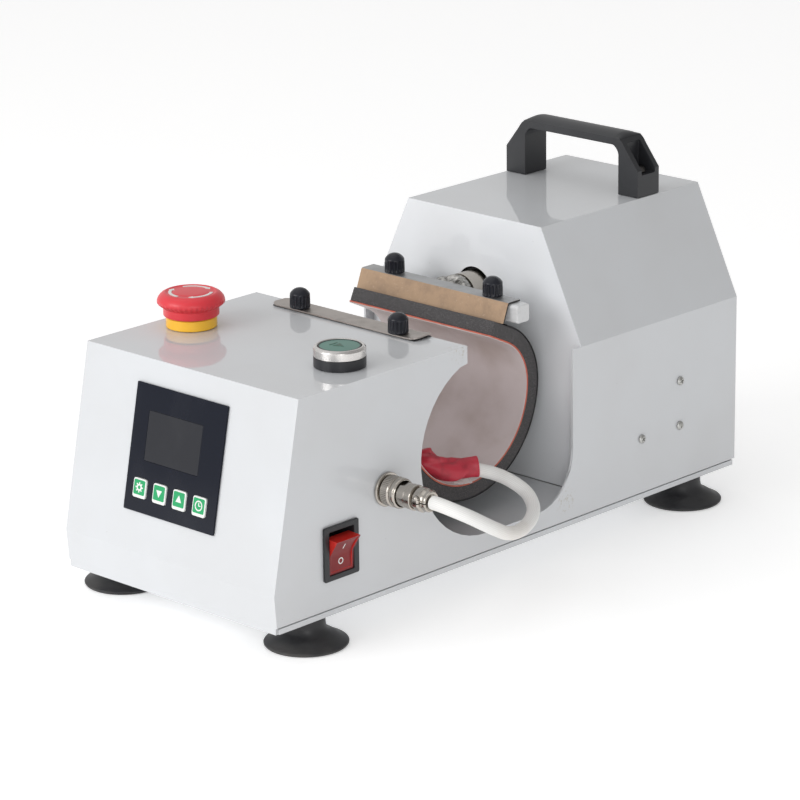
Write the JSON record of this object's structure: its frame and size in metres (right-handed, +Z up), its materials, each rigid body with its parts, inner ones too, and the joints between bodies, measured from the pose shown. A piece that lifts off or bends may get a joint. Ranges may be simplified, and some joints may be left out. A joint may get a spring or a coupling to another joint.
{
  "type": "mug heat press",
  "caption": "Bench-top heat press whose electric ram closes a flexible heater wrap round a mug lying in the cut-out between its two housings.",
  "frame": {"origin": "on the bench, under the middle of the press (lead and plug left out)", "axes": "+Z up, front panel faces -Y, +X is the side with the power switch and the heater connector; the mug lies along X"},
  "size_m": [0.2467, 0.4064, 0.2313],
  "materials": {
    "painted_casing": "semi-gloss white powder coat",
    "black_plastic": "fine matt moulded plastic",
    "black_gloss": "glossy moulded plastic",
    "rubber_foot": "matt rubber",
    "red_plastic": "satin moulded plastic",
    "red_switch": "glossy translucent plastic",
    "yellow_plastic": "satin moulded plastic",
    "green_disc": "satin moulded plastic",
    "green_key": "printed membrane",
    "display_glass": "tinted display window",
    "satin_steel": "bare satin sheet",
    "nickel": "bright nickel plate",
    "bronze_lining": "brown woven heat-proof lining on folded plate",
    "silicone_mat": "satin silicone sheet",
    "foam": "closed-cell sponge",
    "red_silicone": "soft crinkled silicone sleeve",
    "lead_sleeve": "braided glass-fibre sleeve",
    "circuit_board": "board with relay"
  },
  "bodies": {
    "frame": {"casing_shell": "painted_casing", "front_cover": "painted_casing", "cavity_liner": "painted_casing", "bulkhead": "painted_casing", "back_panel": "painted_casing", "base_pan": "painted_casing", "foot_front_left": "rubber_foot", "foot_front_right": "rubber_foot", "foot_rear_left": "rubber_foot", "foot_rear_right": "rubber_foot", "carry_handle": "black_plastic", "stop_contact": "black_plastic", "start_ring": "black_plastic", "start_contact": "black_plastic", "switch_bezel": "black_plastic", "mains_inlet": "black_plastic", "controller_case": "black_gloss", "controller_window": "display_glass", "stop_collar": "yellow_plastic", "handle_screw_left": "satin_steel", "handle_screw_right": "satin_steel", "start_bezel": "satin_steel", "clamp_strip": "satin_steel", "wrap_band": "satin_steel", "ram_tube": "satin_steel", "ram_motor": "satin_steel", "ram_bracket": "satin_steel", "power_supply": "satin_steel", "wall_screw_left_1": "satin_steel", "wall_screw_left_2": "satin_steel", "wall_screw_left_3": "satin_steel", "wall_screw_right_1": "satin_steel", "wall_screw_right_2": "satin_steel", "wall_screw_right_3": "satin_steel", "heater_socket": "nickel", "plug_shell": "nickel", "plug_clamp": "nickel", "heater_mat": "silicone_mat", "foam_pad": "foam", "lead_boot": "red_silicone", "heater_lead": "lead_sleeve", "heater_relay": "circuit_board"},
    "clamp": {"clamp_bar": "painted_casing", "clamp_plate": "bronze_lining", "rod_eye": "nickel", "push_rod": "nickel"},
    "lead_screw": {"lead_screw": "satin_steel"},
    "front_knob_left": {"front_knob_left": "black_plastic"},
    "front_knob_right": {"front_knob_right": "black_plastic"},
    "rear_knob_left": {"rear_knob_left": "black_plastic"},
    "rear_knob_right": {"rear_knob_right": "black_plastic"},
    "stop_plunger": {"stop_plunger": "black_plastic"},
    "stop_head": {"stop_head": "red_plastic"},
    "start_cap": {"start_cap": "green_disc"},
    "key_set": {"key_set": "green_key"},
    "key_down": {"key_down": "green_key"},
    "key_up": {"key_up": "green_key"},
    "key_timer": {"key_timer": "green_key"},
    "switch_rocker": {"switch_rocker": "red_switch"},
    "plug_ring": {"plug_ring": "nickel"}
  },
  "joints": [
    {"name": "clamp_slide", "type": "slide", "parent": "frame", "child": "clamp", "axis": [0, -1, 0], "range_m": [0, 0.02], "deforming": ["heater_mat", "foam_pad", "wrap_band"]},
    {"name": "lead_screw_spin", "type": "hinge", "parent": "frame", "child": "lead_screw", "pos_m": [0, 0.08335, 0.1452], "axis": [0, 1, 0], "range_deg": [0, 1800]},
    {"name": "front_knob_left_turn", "type": "hinge", "parent": "frame", "child": "front_knob_left", "pos_m": [-0.0384, -0.05565, 0.151], "axis": [0, 0, 1], "continuous": true},
    {"name": "front_knob_right_turn", "type": "hinge", "parent": "frame", "child": "front_knob_right", "pos_m": [0.0416, -0.05565, 0.151], "axis": [0, 0, 1], "continuous": true},
    {"name": "rear_knob_left_turn", "type": "hinge", "parent": "clamp", "child": "rear_knob_left", "pos_m": [-0.0384, 0.02535, 0.1556], "axis": [0, 0, 1], "continuous": true},
    {"name": "rear_knob_right_turn", "type": "hinge", "parent": "clamp", "child": "rear_knob_right", "pos_m": [0.0416, 0.02535, 0.1556], "axis": [0, 0, 1], "continuous": true},
    {"name": "stop_press", "type": "slide", "parent": "frame", "child": "stop_plunger", "axis": [0, 0, -1], "range_m": [0, 0.005], "stiffness_N_per_m": 900, "springref_m": -0.001},
    {"name": "stop_twist", "type": "hinge", "parent": "stop_plunger", "child": "stop_head", "pos_m": [-0.0627, -0.12065, 0.1485], "axis": [0, 0, -1], "range_deg": [0, 40], "stiffness_Nm_per_rad": 0.08, "springref_deg": -5.73},
    {"name": "start_press", "type": "slide", "parent": "frame", "child": "start_cap", "axis": [0, 0, -1], "range_m": [0, 0.003], "stiffness_N_per_m": 600, "springref_m": -0.001},
    {"name": "key_set_press", "type": "slide", "parent": "frame", "child": "key_set", "axis": [0, 0.9802, -0.1978], "range_m": [0, 0.0008], "stiffness_N_per_m": 600, "springref_m": -0.0005},
    {"name": "key_down_press", "type": "slide", "parent": "frame", "child": "key_down", "axis": [0, 0.9802, -0.1978], "range_m": [0, 0.0008], "stiffness_N_per_m": 600, "springref_m": -0.0005},
    {"name": "key_up_press", "type": "slide", "parent": "frame", "child": "key_up", "axis": [0, 0.9802, -0.1978], "range_m": [0, 0.0008], "stiffness_N_per_m": 600, "springref_m": -0.0005},
    {"name": "key_timer_press", "type": "slide", "parent": "frame", "child": "key_timer", "axis": [0, 0.9802, -0.1978], "range_m": [0, 0.0008], "stiffness_N_per_m": 600, "springref_m": -0.0005},
    {"name": "switch_rock", "type": "hinge", "parent": "frame", "child": "switch_rocker", "pos_m": [0.083, -0.15135, 0.0535], "axis": [0, -1, 0], "range_deg": [0, 34]},
    {"name": "plug_ring_turn", "type": "hinge", "parent": "frame", "child": "plug_ring", "pos_m": [0.095, -0.11365, 0.08], "axis": [1, 0, 0], "range_deg": [-540, 0]}
  ],
  "couplings": [
    {"joint": "lead_screw_spin", "follows": "clamp_slide", "rad_per_m": 1570.8}
  ]
}
